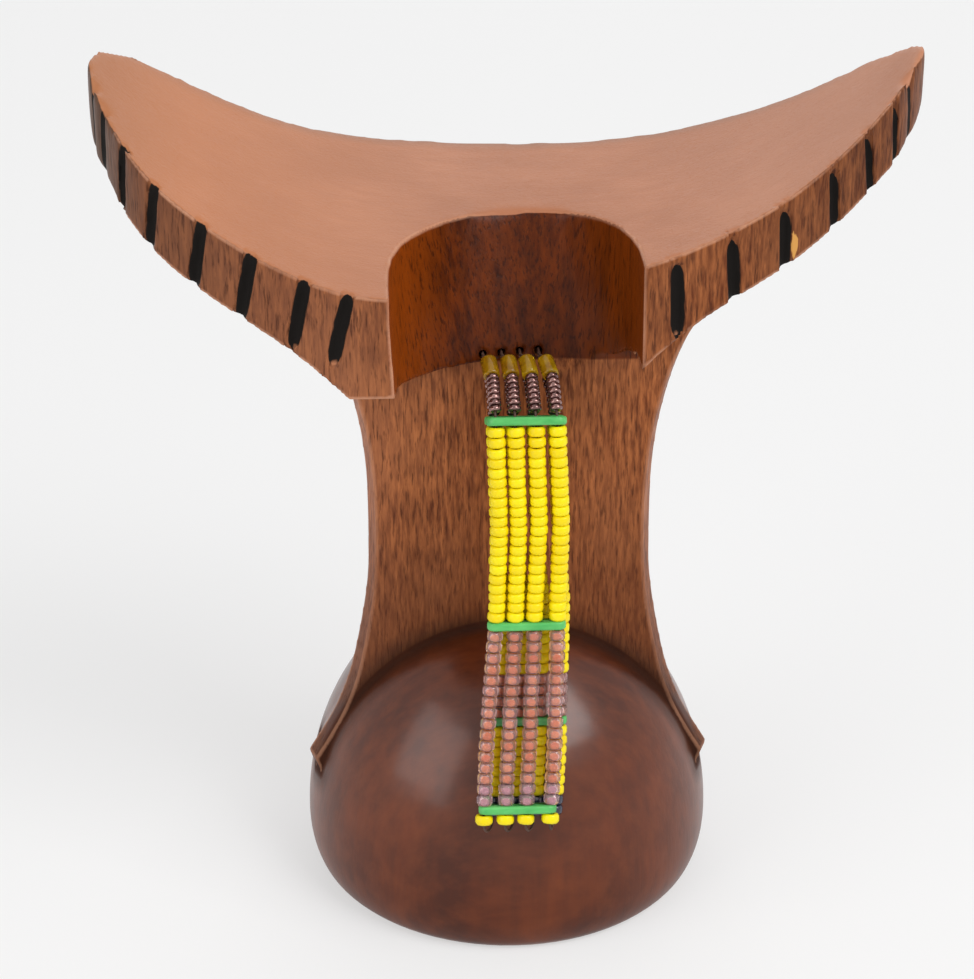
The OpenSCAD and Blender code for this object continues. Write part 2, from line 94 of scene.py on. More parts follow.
# Where the four strands lie from side to side, at lengths measured down the front run, and how much
# further to the right their rear runs lie there
strand_places = [(0, hole_places), (2.2, (-5.1, -0.8, 3.2, 7.3)),
                 (8.4, (-4.4, -0.2, 4.1, 8.6)), (18.5, (-4.1, 0.1, 4.6, 9.2)),
                 (42, (-3.4, 0.8, 5.3, 10.1)), (62.8, (-4.1, 0.1, 4.3, 9.4)),
                 (76, (-5.2, -0.6, 3.8, 9.1)), (94.6, (-6.8, -1.9, 2.8, 8.4)),
                 (112, (-7.6, -2.9, 1.7, 7.2))]
rear_shift = [(0, (0, 0, 0, 0)), (49, (0, 0, 0, 0)), (60, (2, 2, 1.9, 1)),
              (112, (2.2, 2.2, 2.2, 1.1))]


def distances(route):
    """Length of a route from its start to each of its points."""
    steps = [math.dist(a, b) for a, b in zip(route, route[1:])]
    return [sum(steps[:i]) for i in range(len(route))]


def sideways(table, strand, along):
    """A strand's entry in a table of side places, between the table's rows too."""
    return float(np.interp(along, [row[0] for row in table], [row[1][strand] for row in table]))


def on_stool(x, point):
    """A point of a route, x millimetres to the right of the stool's middle, in metres."""
    return Vector((x, column_face - point[0], swing_height + point[1])) * MM


rear_route = [Vector(point) for point in rear_start]
for i in range(follow_from, len(front_route)):
    before = Vector(front_route[i - 1])
    after = Vector(front_route[min(i + 1, len(front_route) - 1)])
    way = (after - before).normalized()
    rear_route.append(Vector(front_route[i]) + run_gap * Vector((way.y, -way.x)))


def thread_points(strand):
    """Points of one thread: down the front run, round its lowest bead and up the rear run."""
    front_along = distances(front_route)
    rear_along = distances(rear_route)
    whole = front_along[-1]
    down = [on_stool(sideways(strand_places, strand, along), point)
            for along, point in zip(front_along, front_route)]
    up = [on_stool(sideways(strand_places, strand, along * whole / rear_along[-1])
                   + sideways(rear_shift, strand, along * whole / rear_along[-1]), point)
          for along, point in zip(rear_along, rear_route)]
    centre = (down[-1] + up[-1]) / 2
    reach = (down[-1] - up[-1]) / 2
    drop = (down[-1] - down[-2]).normalized() * reach.length
    turn = [centre + reach * math.cos(angle) + drop * math.sin(angle)
            for angle in (math.radians(45), math.radians(90), math.radians(135))]
    return down + turn + up[::-1]


def thread_curve(name, points, width):
    """A round thread that runs smoothly through its points."""
    curve = bpy.data.curves.new(name, "CURVE")
    curve.dimensions = "3D"
    curve.bevel_depth = 1
    curve.bevel_resolution = 1
    curve.resolution_u = 6
    curve.use_fill_caps = True
    spline = curve.splines.new("BEZIER")
    spline.bezier_points.add(len(points) - 1)
    for place, point in zip(spline.bezier_points, points):
        place.co = point
        place.handle_left_type = place.handle_right_type = "AUTO"
        place.radius = width / 2
    piece = bpy.data.objects.new(name, curve)
    scene.collection.objects.link(piece)
    return piece


threads = []
for strand in range(4):
    thread = thread_curve(f"thread_loop_{strand + 1}", thread_points(strand), thread_width)
    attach(thread, "strap")
    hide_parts(f"thread_{strand + 1}")
    threads.append(thread)


# Carved body.
# One block of reddish brown hardwood with the grain upright: saddle seat, notch, column and dome
# foot, cut with adze and knife, sanded on top, its edges worn round and its grooves burnt black.
half_seat = 89.5
front_reach = 47.5
wing_thickness = 15.5
sharp_bend = math.radians(26)
mark_gap = 0.5 * MM
groove_width = 3.4
groove_depth = 1.6
groove_margin = 0.5
# Each groove's place as a share of the half width, its lean outwards in degrees, and the share of
# the full width that it has
grooves = [(-0.408, 13, 1), (-0.503, 12, 1), (-0.623, 12, 1), (-0.733, 10, 0.95), (-0.838, 9, 0.9),
           (-0.909, 7, 0.75), (-0.96, 5, 0.6), (-0.984, 4, 0.5), (0.378, -2, 1), (0.512, -4, 0.9),
           (0.636, -3, 0.9), (0.756, -5, 0.8), (0.844, -8, 0.7), (0.91, -6, 0.6), (0.95, -8, 0.5)]
# Front edge of the seat seen from above: shares of the half width and of its reach forwards
front_edge = [(-1, 0), (-0.985, -0.2), (-0.94, -0.4), (-0.89, -0.56), (-0.825, -0.68),
              (-0.71, -0.79), (-0.605, -0.87), (-0.48, -0.95), (-0.38, -0.995), (-0.3, -1),
              (0.29, -0.75), (0.38, -0.71), (0.51, -0.65), (0.63, -0.59), (0.745, -0.485),
              (0.83, -0.385), (0.9, -0.285), (0.94, -0.2), (0.985, -0.06)]


def merged_copy(cad_node):
    """A CAD piece's own shape, with its loose triangles joined at their corners."""
    shape = bmesh.new()
    shape.from_mesh(cad_nodes[cad_node].data)
    bmesh.ops.remove_doubles(shape, verts=shape.verts, dist=1e-6)
    return shape


def as_piece(shape, name):
    """A new piece in the scene with a finished shape."""
    mesh = bpy.data.meshes.new(name)
    shape.to_mesh(mesh)
    shape.free()
    piece = bpy.data.objects.new(name, mesh)
    scene.collection.objects.link(piece)
    return piece


def apply_modifiers(piece):
    bpy.context.view_layer.update()
    finished = piece.evaluated_get(bpy.context.evaluated_depsgraph_get())
    mesh = bpy.data.meshes.new_from_object(finished)
    piece.modifiers.clear()
    piece.data = mesh


def shade_smooth(piece):
    piece.data.polygons.foreach_set("use_smooth", [True] * len(piece.data.polygons))


def sharp_edges(shape, convex):
    """Marks at close steps along the sharp edges, outer ones or inner ones."""
    marks = []
    for edge in shape.edges:
        bend = edge.calc_face_angle_signed()
        if abs(bend) > sharp_bend and (bend > 0) == convex:
            a, b = (corner.co for corner in edge.verts)
            steps = max(1, int((b - a).length / mark_gap))
            marks += [a.lerp(b, i / steps) for i in range(steps + 1)]
    return marks


def searchable(marks):
    tree = KDTree(len(marks))
    for i, mark in enumerate(marks):
        tree.insert(mark, i)
    tree.balance()
    return tree


def step(low, high, value):
    """Rises softly from 0 at the low value to 1 at the high one."""
    share = np.clip((value - low) / (high - low), 0, 1)
    return share * share * (3 - 2 * share)


def distance_to(tree, mesh):
    """Millimetres from each point of a mesh to the nearest mark."""
    return np.array([tree.find(corner.co)[2] for corner in mesh.vertices]) / MM


def numbers(mesh, collection, label):
    """Three numbers for each point of a mesh, such as its place."""
    values = np.empty(len(mesh.vertices) * 3)
    collection.foreach_get(label, values)
    return values.reshape(-1, 3)


block = merged_copy("carved_body")
surface = BVHTree.FromBMesh(block)
edge_x = [point[0] * half_seat for point in front_edge]
edge_y = [point[1] * front_reach for point in front_edge]


def height_at(x, y):
    """Height of the wood's upper face, found by a ray from well above it."""
    return surface.ray_cast(Vector((x, y, 300)) * MM, Vector((0, 0, -1)))[0].z / MM


gouges = []
for share, lean, size in grooves:
    x = share * half_seat
    y = np.interp(x, edge_x, edge_y)
    run = math.atan2(np.interp(x + 1, edge_x, edge_y) - np.interp(x - 1, edge_x, edge_y), 2)
    gouges.append((Matrix.Translation((x, y, height_at(x, 0) - wing_thickness / 2))
                   @ Matrix.Rotation(run, 4, "Z") @ Matrix.Rotation(math.radians(lean), 4, "Y"),
                   size * groove_width / 2))


def near_holes(spot):
    """Whether a mark lies on the notch's lower edge, where the holes begin."""
    return -26 < spot.x / MM < 26 and 127 < spot.z / MM < 140


def on_groove(spot):
    """Whether a mark lies on an edge that a groove's own straight cut left."""
    for gouge, half_width in gouges:
        local = gouge.inverted() @ (spot / MM)
        if (abs(local.x) < half_width + groove_margin and -1.2 < local.y < groove_depth + 1
                and abs(local.z) < 1.5 * wing_thickness):
            return True
    return False


def face_at(gouge, half_width, offset):
    """How far the seat's front face lies from a gouge's own plane, bridged over its groove."""
    beside = half_width + groove_margin
    in_front = -6
    found = []
    for side in (-beside, beside):
        start = gouge @ Vector((side, in_front, 0))
        face = surface.ray_cast(start * MM, gouge.to_3x3() @ Vector((0, 1, 0)))[0]
        found.append((gouge.inverted() @ (face / MM)).y)
    return np.interp(offset, (-beside, beside), found)


rise_from = 0.6
rise_to = 3


def seat_rise(gouge):
    """How much the seat rises for each millimetre that a gouge goes inwards."""
    near, far = (gouge @ Vector((0, groove_depth + reach, 0)) for reach in (rise_from, rise_to))
    return (height_at(far.x, far.y) - height_at(near.x, near.y)) / (rise_to - rise_from)


# Worn edges and creases, without the grooves' own. Over each groove the seat's rim runs on, at the
# height that the seat has just behind it.
outer_marks = sharp_edges(block, True)
inner_marks = sharp_edges(block, False)
rim_marks = []
for gouge, half_width in gouges:
    for side in np.linspace(-half_width - groove_margin, half_width + groove_margin, 9):
        front = face_at(gouge, half_width, side)
        rim = gouge @ Vector((side, front, wing_thickness / 2))
        behind = gouge @ Vector((side, groove_depth + rise_from, wing_thickness / 2))
        height = (height_at(behind.x, behind.y)
                  + seat_rise(gouge) * (front - groove_depth - rise_from))
        rim_marks.append(Vector((rim.x, rim.y, height)) * MM)
all_edges = searchable(outer_marks + inner_marks)
outer_edges = searchable([mark for mark in outer_marks
                          if not near_holes(mark) and not on_groove(mark)] + rim_marks)
inner_edges = searchable([mark for mark in inner_marks
                          if not near_holes(mark) and not on_groove(mark)])
rear_rim = searchable([mark for mark in outer_marks if mark.z > 150 * MM
                       and (mark.y > 0.5 * MM or abs(mark.x) > 85 * MM)])

# An even, fine mesh of the same block
body = as_piece(block, "headrest_body")
cut = body.modifiers.new("knife_cut", "REMESH")
cut.mode = "SHARP"
cut.octree_depth = 8
cut.scale = 0.99
apply_modifiers(body)

# Each burnt groove is a gouge that is deepest in its middle, closes just under the seat's rim and
# runs out at the wing's lower edge
spots = numbers(body.data, body.data.vertices, "co") / MM


def in_gouge(places, gouge, half_width):
    """Places seen from a gouge, its half width at their heights, and its way into the wood."""
    turned = np.array(gouge.to_3x3())
    local = (places - np.array(gouge.translation)) @ turned
    above = local[:, 2] + 1
    reach = np.clip(np.maximum(above, -0.8 * above) / (wing_thickness / 2), 0, 1)
    return local, 0.96 * half_width * (1 - reach ** 7), turned[:, 1] + (0, 0, seat_rise(gouge))


for gouge, half_width in gouges:
    local, width, inward = in_gouge(spots, gouge, half_width)
    face = face_at(gouge, half_width, local[:, 0])
    cut_depth = groove_depth - face
    share = (local[:, 1] - face) / cut_depth
    # What the straight cut took away, with its flanks and a little beyond its floor
    cut_away = ((np.abs(local[:, 0]) < half_width + 0.25) & (share > 0.03) & (share < 1.2)
                & (np.abs(local[:, 2]) < 1.5 * wing_thickness))
    depth = cut_depth * np.clip(1 - (local[:, 0] / np.maximum(width, 0.01)) ** 2, 0, 1)
    spots += np.where(cut_away, share * (depth - cut_depth), 0)[:, None] * inward

# The rims of the fine mesh settle on the wood's own edges
settle_within = 0.6 * MM
longest_move = 0.7 * MM
for i, spot in enumerate(spots):
    here = Vector(spot) * MM
    found = outer_edges.find_n(here, 4)
    edge = found[-1][0] - found[0][0]
    if found[0][2] < settle_within and edge.length > 0:
        settled = found[0][0] + (here - found[0][0]).project(edge)
        if (settled - here).length < longest_move:
            spots[i] = settled / MM
body.data.vertices.foreach_set("co", (spots * MM).ravel())

# Sanding: broad faces lose their facets, worn edges keep a small radius, and creases stay sharp.
# Each kind has its number of strokes and the share of them that every point takes.
from_crease = distance_to(inner_edges, body.data)
from_rim = distance_to(rear_rim, body.data)
from_edge = distance_to(all_edges, body.data)
sanding = {"worn": (3, 0.4 + 0.6 * step(0.3, 1.2, from_crease)),
           "rounded": (45, 1 - step(1, 7, from_rim)),
           "sanded": (30, step(1.2, 4.5, from_edge))}
for label, (strokes, shares) in sanding.items():
    group = body.vertex_groups.new(name=label)
    for i, share in enumerate(shares):
        if share > 0:
            group.add([i], float(share), "REPLACE")
    smooth = body.modifiers.new(label, "SMOOTH")
    smooth.factor = 0.5
    smooth.iterations = strokes
    smooth.vertex_group = label
faces_kept = 95000
thin = body.modifiers.new("fewer_faces", "DECIMATE")
thin.ratio = faces_kept / len(body.data.polygons)
apply_modifiers(body)
body.vertex_groups.clear()
shade_smooth(body)

# Where the notch, the burnt grooves and the one splinter beside a groove lie on the finished mesh
notch_middle = -40
chipped_groove = 10
chip_middle = (2.2, -1.6)
chip_half = (1.1, 3.2)
spots = numbers(body.data, body.data.vertices, "co") / MM
facing = numbers(body.data, body.data.vertex_normals, "vector")
across, deep, high = spots.T
to_notch = np.stack([-across, notch_middle - deep], axis=1)
to_notch /= np.linalg.norm(to_notch, axis=1)[:, None]
into_notch = (to_notch * facing[:, :2]).sum(axis=1)
burnt = np.full(len(spots), -1.0)
for gouge, half_width in gouges:
    local, width, inward = in_gouge(spots, gouge, half_width)
    inside = 1 - np.abs(local[:, 0]) / np.maximum(width, 0.3)
    near = ((local[:, 1] > -1.5) & (local[:, 1] < groove_depth + 1)
            & (np.abs(local[:, 2]) < wing_thickness))
    burnt = np.maximum(burnt, np.where(near & (width > 0.05), np.clip(inside, -1, 1), -1))
local = in_gouge(spots, *gouges[chipped_groove])[0]
chip = 1 - np.hypot((local[:, 0] - chip_middle[0]) / chip_half[0],
                    (local[:, 2] - chip_middle[1]) / chip_half[1])

# How far each place lies inside the seat's front edge, seen from above. The notch's own edge,
# between the two wings, isn't counted.
far_inside = 50.0
inset = np.full(len(spots), far_inside)
plan = np.array([edge_x, edge_y]).T
for a, b in zip(plan, plan[1:]):
    if a[0] * b[0] > 0:
        along = np.clip(((spots[:, :2] - a) @ (b - a)) / ((b - a) @ (b - a)), 0, 1)
        gap = spots[:, :2] - a - along[:, None] * (b - a)
        inset = np.minimum(inset, np.linalg.norm(gap, axis=1))

# Fields that the wood's finish reads, each with a straight slope so that its borders stay sharp
seat_from = 145
notch_half = 27.6
notch_low = 128
notch_high = 168
notch_rear = 4
foot_half = 47.5
foot_rim = 12
dome_height = 56
dome_below = 70
in_notch = ((np.abs(across) < notch_half) & (high > notch_low) & (high < notch_high)
            & (deep < notch_rear))
dome_ratio = np.hypot(np.hypot(across, deep) / foot_half,
                      np.maximum(high - foot_rim, 0) / dome_height)
fields = {
    "inset": inset,
    "upward": np.where(high > seat_from, facing[:, 2], -1),
    "notch": in_notch * np.clip(into_notch * 4, 0, 1) * np.clip(4 - 5 * facing[:, 2], 0, 1),
    "dome_ratio": np.where(high < dome_below, dome_ratio, 2),
    "burnt": burnt,
    "chip": np.where(deep < 0, np.clip(chip, -1, 1), -1),
    "edge_distance": np.minimum(distance_to(outer_edges, body.data), 9),
    "rim_distance": np.minimum(distance_to(rear_rim, body.data), 30),
    "crease_distance": np.minimum(distance_to(inner_edges, body.data), 15),
}
for label, values in fields.items():
    made = body.data.attributes.new(label, "FLOAT", "POINT")
    made.data.foreach_set("value", values.astype(np.float32))
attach(body, "stool")
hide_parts("carved_body")


def new_material(name):
    """A material, its nodes, and the one shader that they feed."""
    material = bpy.data.materials.new(name)
    material.use_nodes = True
    tree = material.node_tree
    return material, tree, tree.nodes["Principled BSDF"]


def node(tree, kind, sockets, **settings):
    """A node with its inputs joined to other nodes or set to plain values."""
    made = tree.nodes.new(kind)
    for label, value in settings.items():
        setattr(made, label, value)
    for label, value in sockets.items():
        if isinstance(value, bpy.types.NodeSocket):
            tree.links.new(value, made.inputs[label])
        else:
            made.inputs[label].default_value = value
    return made


def mixed(tree, share, first, second):
    """A colour that goes from the first to the second as the share goes from 0 to 1."""
    made = node(tree, "ShaderNodeMix", {0: share}, data_type="RGBA")
    for slot, colour in ((6, first), (7, second)):
        if isinstance(colour, bpy.types.NodeSocket):
            tree.links.new(colour, made.inputs[slot])
        else:
            made.inputs[slot].default_value = (*colour, 1)
    return made.outputs[2]


def blended(tree, share, first, second):
    """The same as mixed, for a plain value."""
    return node(tree, "ShaderNodeMix", {0: share, 2: first, 3: second}).outputs[0]


def between(tree, value, low, high, to_low=0, to_high=1):
    """Goes from to_low to to_high while the value goes from low to high."""
    return node(tree, "ShaderNodeMapRange",
                {"Value": value, "From Min": low, "From Max": high,
                 "To Min": to_low, "To Max": to_high}).outputs["Result"]


def times(tree, a, b):
    return node(tree, "ShaderNodeMath", {0: a, 1: b}, operation="MULTIPLY").outputs[0]


def less(tree, a, b):
    return node(tree, "ShaderNodeMath", {0: a, 1: b}, operation="SUBTRACT").outputs[0]


def own_place(tree):
    return node(tree, "ShaderNodeTexCoord", {}).outputs["Object"]


def field(tree, label):
    """One of the values that a piece's mesh carries."""
    return node(tree, "ShaderNodeAttribute", {}, attribute_name=label).outputs["Fac"]


# One figure serves every finish: drawn-out noise for grain, pores and fibres, even noise for
# clouding
figure = bpy.data.node_groups.new("figure", "ShaderNodeTree")
for label, kind in (("Place", "Vector"), ("Stretch", "Vector"), ("Scale", "Float"),
                    ("Low", "Float"), ("High", "Float")):
    figure.interface.new_socket(label, in_out="INPUT", socket_type="NodeSocket" + kind)
for label in ("Share", "Height"):
    figure.interface.new_socket(label, in_out="OUTPUT", socket_type="NodeSocketFloat")
given = node(figure, "NodeGroupInput", {}).outputs
placed = node(figure, "ShaderNodeMapping",
              {"Vector": given["Place"], "Scale": given["Stretch"]}).outputs[0]
grain = node(figure, "ShaderNodeTexNoise",
             {"Vector": placed, "Scale": given["Scale"], "Detail": 3, "Roughness": 0.58}).outputs[0]
share = between(figure, grain, given["Low"], given["High"])
node(figure, "NodeGroupOutput", {"Share": share, "Height": grain})


def figured(tree, place, stretch, scale, low=0.35, high=0.68):
    """The figure, drawn out along the axes whose stretch is below 1."""
    return node(tree, "ShaderNodeGroup",
                {"Place": place, "Stretch": stretch, "Scale": scale, "Low": low, "High": high},
                node_tree=figure).outputs


wood, tree, gloss = new_material("carved_hardwood")
place = own_place(tree)
pores = figured(tree, place, (1, 1, 0.12), 1700, 0.53, 0.66)
flecks = figured(tree, place, (1, 1, 0.14), 1150, 0.34, 0.66)
streaks = figured(tree, place, (1, 1, 0.07), 330)
clouds = figured(tree, place, (1, 1, 0.6), 42)
ripple = figured(tree, place, (0.3, 1.2, 0.6), 300, 0.4, 0.7)
axes = node(tree, "ShaderNodeSeparateXYZ", {"Vector": place}).outputs
outwards = node(tree, "ShaderNodeMath", {0: axes["X"]}, operation="ABSOLUTE").outputs[0]

# Carved sides: dark flecks and pores on brown, paler at the left of the column and darker out to
# the tips; painted shade and burnt wood down to the foot, and painted shade up under the seat
side = mixed(tree, flecks["Share"], (0.125, 0.026, 0.006), (0.50, 0.162, 0.050))
side = mixed(tree, times(tree, streaks["Share"], 0.45), side, (0.19, 0.048, 0.011))
side = mixed(tree, times(tree, clouds["Share"], 0.35), side, (0.40, 0.15, 0.06))
side = mixed(tree, between(tree, axes["X"], -0.022, -0.036, 0, 0.35), side, (0.40, 0.16, 0.085))
side = mixed(tree, times(tree, pores["Share"], 0.65), side, (0.05, 0.011, 0.004))
# Painted shade on the column above the foot, with burnt wood there too
side = mixed(tree, between(tree, axes["Z"], 0.105, 0.060, 0, 0.6), side, (0.085, 0.020, 0.005))
# Painted shade under the seat's overhang
side = mixed(tree, between(tree, axes["Z"], 0.138, 0.152, 0, 0.27), side, (0.02, 0.002, 0))
side = mixed(tree, between(tree, outwards, 0.045, 0.072, 0, 0.3), side, (0.02, 0.008, 0.004))
side = mixed(tree, between(tree, axes["X"], -0.076, -0.086, 0, 0.7), side, (0.075, 0.050, 0.036))

# Rubbed top: warmer over the left wing, paler over the right one, darker at the left tip, and
# painted shade along the rear rim, where the top rounds over
top = mixed(tree, clouds["Share"], (0.385, 0.152, 0.075), (0.455, 0.188, 0.098))
top = mixed(tree, times(tree, ripple["Share"], 0.4), top, (0.36, 0.135, 0.066))
top = mixed(tree, between(tree, axes["X"], -0.010, -0.075, 0, 0.6), top, (0.52, 0.186, 0.066))
top = mixed(tree, between(tree, axes["X"], -0.068, -0.088, 0, 0.6), top, (0.36, 0.150, 0.070))
top = mixed(tree, between(tree, axes["X"], 0.030, 0.075, 0, 0.45), top, (0.54, 0.250, 0.150))
# Painted shade where the top rounds over at the rear rim
painted_rim_shade = times(tree, between(tree, field(tree, "rim_distance"), 6.5, 1, 0, 0.6),
                  between(tree, axes["Y"], 0.012, 0.034))
top = mixed(tree, painted_rim_shade, top, (0.22, 0.115, 0.070))

# Oiled wall of the notch, deep red in its middle, with painted light in orange at both ends
wall = mixed(tree, streaks["Share"], (0.036, 0.005, 0.0005), (0.125, 0.021, 0.0010))
# Painted light: orange at the notch's left end, which faces the key lamp, and less at its right end
wall = mixed(tree, between(tree, axes["X"], -0.012, -0.026, 0, 0.7), wall, (0.34, 0.062, 0.003))
wall = mixed(tree, between(tree, axes["X"], 0.012, 0.026, 0, 0.45), wall, (0.24, 0.046, 0.003))
wall = mixed(tree, times(tree, flecks["Share"], 0.22), wall, (0.20, 0.044, 0.004))
wall = mixed(tree, times(tree, pores["Share"], 0.7), wall, (0.022, 0.004, 0.001))

# Dark, polished foot
foot = mixed(tree, clouds["Share"], (0.070, 0.012, 0.002), (0.150, 0.029, 0.005))
foot = mixed(tree, times(tree, streaks["Share"], 0.45), foot, (0.055, 0.012, 0.004))
foot = mixed(tree, times(tree, ripple["Share"], 0.35), foot, (0.20, 0.044, 0.009))

# Which finish lies where, with narrow borders between them
on_top = times(tree, between(tree, field(tree, "upward"), 0.22, 0.34),
               between(tree, field(tree, "inset"), 0.35, 0.5))
on_wall = times(tree, between(tree, field(tree, "notch"), 0.4, 0.6),
                between(tree, axes["Z"], 0.1333, 0.1338))
on_foot = between(tree, field(tree, "dome_ratio"), 1.026, 1.018)
colour = mixed(tree, on_top, side, top)
colour = mixed(tree, on_wall, colour, wall)
colour = mixed(tree, on_foot, colour, foot)

# Painted shade in creases, wear with painted highlight on edges, char in grooves, raw splinter wood
# Painted shade in the creases
colour = mixed(tree, between(tree, field(tree, "crease_distance"), 6, 0.3, 0, 0.85), colour,
               (0.022, 0.007, 0.003))
# Pale wear on the outer edges, partly a painted highlight along their rounded rims
wear_and_edge_highlight = times(tree, between(tree, field(tree, "edge_distance"), 0.8, 0.35),
             between(tree, axes["Z"], 0.125, 0.135, 0.5))
colour = mixed(tree, times(tree, wear_and_edge_highlight, between(tree, clouds["Height"], 0.35, 0.55, 0.25, 0.75)),
               colour, (0.56, 0.27, 0.16))
char = between(tree, less(tree, field(tree, "burnt"), times(tree, flecks["Height"], 0.45)),
               -0.24, -0.12)
char = times(tree, char, between(tree, field(tree, "upward"), 0.42, 0.26))
colour = mixed(tree, char, colour, (0.008, 0.006, 0.005))
raw = between(tree, less(tree, field(tree, "chip"), times(tree, flecks["Height"], 2)), -0.86, -0.76)
raw = times(tree, raw, between(tree, char, 0.6, 0.4))
colour = mixed(tree, raw, colour, (0.62, 0.30, 0.075))
tree.links.new(colour, gloss.inputs["Base Color"])

# Satin wood, smoother in the notch and on the foot, and dull in creases and char
sheen = between(tree, pores["Height"], 0.4, 0.7, 0.40, 0.52)
sheen = blended(tree, on_wall, sheen, 0.36)
sheen = blended(tree, on_foot, sheen, 0.36)
sheen = blended(tree, between(tree, field(tree, "crease_distance"), 2.5, 0.8), sheen, 0.85)
sheen = blended(tree, char, sheen, 0.75)
tree.links.new(sheen, gloss.inputs["Roughness"])
gloss.inputs["Specular IOR Level"].default_value = 0.15
gloss.inputs["Coat Roughness"].default_value = 0.2
polish = times(tree, between(tree, field(tree, "crease_distance"), 1.5, 6, 0, 0.6),
               between(tree, axes["Z"], 0.006, 0.036, 0.3))
tree.links.new(times(tree, on_foot, polish), gloss.inputs["Coat Weight"])

# Fine relief of the knife, the fibres and the pores, fainter on the foot
tool_marks = figured(tree, place, (1, 1, 0.5), 130)
fibre = blended(tree, 0.4, tool_marks["Height"], flecks["Height"])
fibre = less(tree, fibre, times(tree, pores["Share"], 0.12))
fibre = blended(tree, times(tree, on_foot, 0.75), fibre, 0.5)
relief = node(tree, "ShaderNodeBump", {"Height": fibre, "Strength": 0.4, "Distance": 0.0005})
tree.links.new(relief.outputs[0], gloss.inputs["Normal"])
body.data.materials.clear()
body.data.materials.append(wood)


# Glass beads.
# Small drawn glass rings, tumbled smooth, so that no two are quite alike. They are strung loosely:
# each one sits a little crooked on its thread. A kind of bead has one ring profile, spun round.
chance = random.Random(11)


def strung(name):
    """Places of the beads in a CAD piece: middle, direction of the bore, radius and length."""
    shape = merged_copy(name)
    places = []
    left = dict.fromkeys(shape.verts)
    while left:
        found = [left.popitem()[0]]
        for corner in found:
            for edge in corner.link_edges:
                other = edge.other_vert(corner)
                if other in left:
                    del left[other]
                    found.append(other)
        spots = np.array([corner.co for corner in found])
        middle = (spots.min(axis=0) + spots.max(axis=0)) / 2
        spreads, ways = np.linalg.eigh(np.cov((spots - middle).T))
        # Two of the three spreads are alike, and the bore lies along the third
        way = ways[:, 0] if spreads[1] - spreads[0] > spreads[2] - spreads[1] else ways[:, 2]
        way = way if way[2] > 0 else -way
        along = (spots - middle) @ way
        radius = np.linalg.norm((spots - middle) - along[:, None] * way, axis=1).max()
        places.append((Vector(middle), Vector(way), radius, along.max() - along.min()))
    shape.free()
    # From the top down, and from left to right where several lie level
    return sorted(places, key=lambda place: (-round(place[0].z / MM, 3), place[0].x))


def bead_mesh(name, profile, segments):
    """A ring of radius 1 and length 1, spun from its cross-section round Z."""
    ring = bmesh.new()
    corners = [ring.verts.new((reach, 0, height)) for reach, height in profile]
    edges = [ring.edges.new((a, b)) for a, b in zip(corners, corners[1:] + corners[:1])]
    bmesh.ops.spin(ring, geom=corners + edges, axis=(0, 0, 1), cent=(0, 0, 0), steps=segments,
                   angle=2 * math.pi, use_merge=True)
    bmesh.ops.recalc_face_normals(ring, faces=ring.faces)
    for face in ring.faces:
        face.smooth = True
    mesh = bpy.data.meshes.new(name)
    ring.to_mesh(mesh)
    ring.free()
    return mesh


def string_beads(name, cad_node, ring, material, crooked=3.0, uneven=0.04, pale_ends=0):
    """Beads at a CAD piece's places, askew by up to crooked degrees, uneven by a share of size."""
    shape = bmesh.new()
    tone = shape.verts.layers.float.new("tone")
    places = strung(cad_node)
    for i, (middle, way, radius, length) in enumerate(places):
        old = set(shape.verts)
        shape.from_mesh(ring)
        new = [corner for corner in shape.verts if corner not in old]
        wide = radius * (1 - chance.uniform(0, uneven))
        tall = length * (1 - chance.uniform(0, uneven / 2))
        tilt = Matrix.Rotation(math.radians(chance.uniform(-crooked, crooked)), 4, "X")
        turn = Matrix.Rotation(chance.uniform(0, 2 * math.pi), 4, "Z")
        slack = Matrix.Translation((chance.uniform(-0.04, 0.04) * radius, 0, 0))
        along_thread = way.to_track_quat("Z", "X").to_matrix().to_4x4()
        to_place = (Matrix.Translation(middle) @ along_thread @ turn @ slack @ tilt
                    @ Matrix.Diagonal((wide, wide, tall, 1)))
        bmesh.ops.transform(shape, matrix=to_place, verts=new)
        shade = chance.uniform(0, 0.75)
        for corner in new:
            corner[tone] = 1 if i >= len(places) - pale_ends else shade
    piece = as_piece(shape, name)
    piece.data.materials.append(material)
    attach(piece, "strap")
    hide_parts(cad_node)
    return piece


round_ring = bead_mesh("seed_ring", [(0.28, -0.41), (0.83, -0.51), (1, -0.27),
                                     (1, 0.27), (0.83, 0.51), (0.28, 0.41)], 10)
small_ring = bead_mesh("lustre_ring", [(0.30, -0.46), (0.72, -0.59), (1.06, -0.34),
                                       (1.06, 0.34), (0.72, 0.59), (0.30, 0.46)], 10)


def glass_bead(name, dull, bright, rough, metal=0.0, coat=0.0):
    """Opaque glass, each bead in its own tone between dull and bright."""
    material, tree, gloss = new_material(name)
    place = own_place(tree)
    clouds = figured(tree, place, (1, 1, 1), 700, 0.45, 0.7)
    colour = mixed(tree, field(tree, "tone"), dull, bright)
    colour = mixed(tree, times(tree, clouds["Share"], 0.3), colour, dull)
    tree.links.new(colour, gloss.inputs["Base Color"])
    tree.links.new(between(tree, clouds["Height"], 0.3, 0.7, rough - 0.04, rough + 0.06),
                   gloss.inputs["Roughness"])
    gloss.inputs["Metallic"].default_value = metal
    gloss.inputs["Coat Weight"].default_value = coat
    gloss.inputs["Coat Roughness"].default_value = 0.10
    return material


yellow_glass = glass_bead("yellow_glass", (0.90, 0.68, 0.002), (0.97, 0.83, 0.004), 0.34)
yellow_glass.node_tree.nodes["Principled BSDF"].inputs["Specular IOR Level"].default_value = 0.3
maroon_glass = glass_bead("maroon_lustre_glass", (0.14, 0.055, 0.050), (0.42, 0.22, 0.19), 0.14,
                          metal=0.8, coat=1.0)
navy_glass = glass_bead("navy_glass", (0.008, 0.012, 0.03), (0.02, 0.03, 0.07), 0.2, coat=0.5)
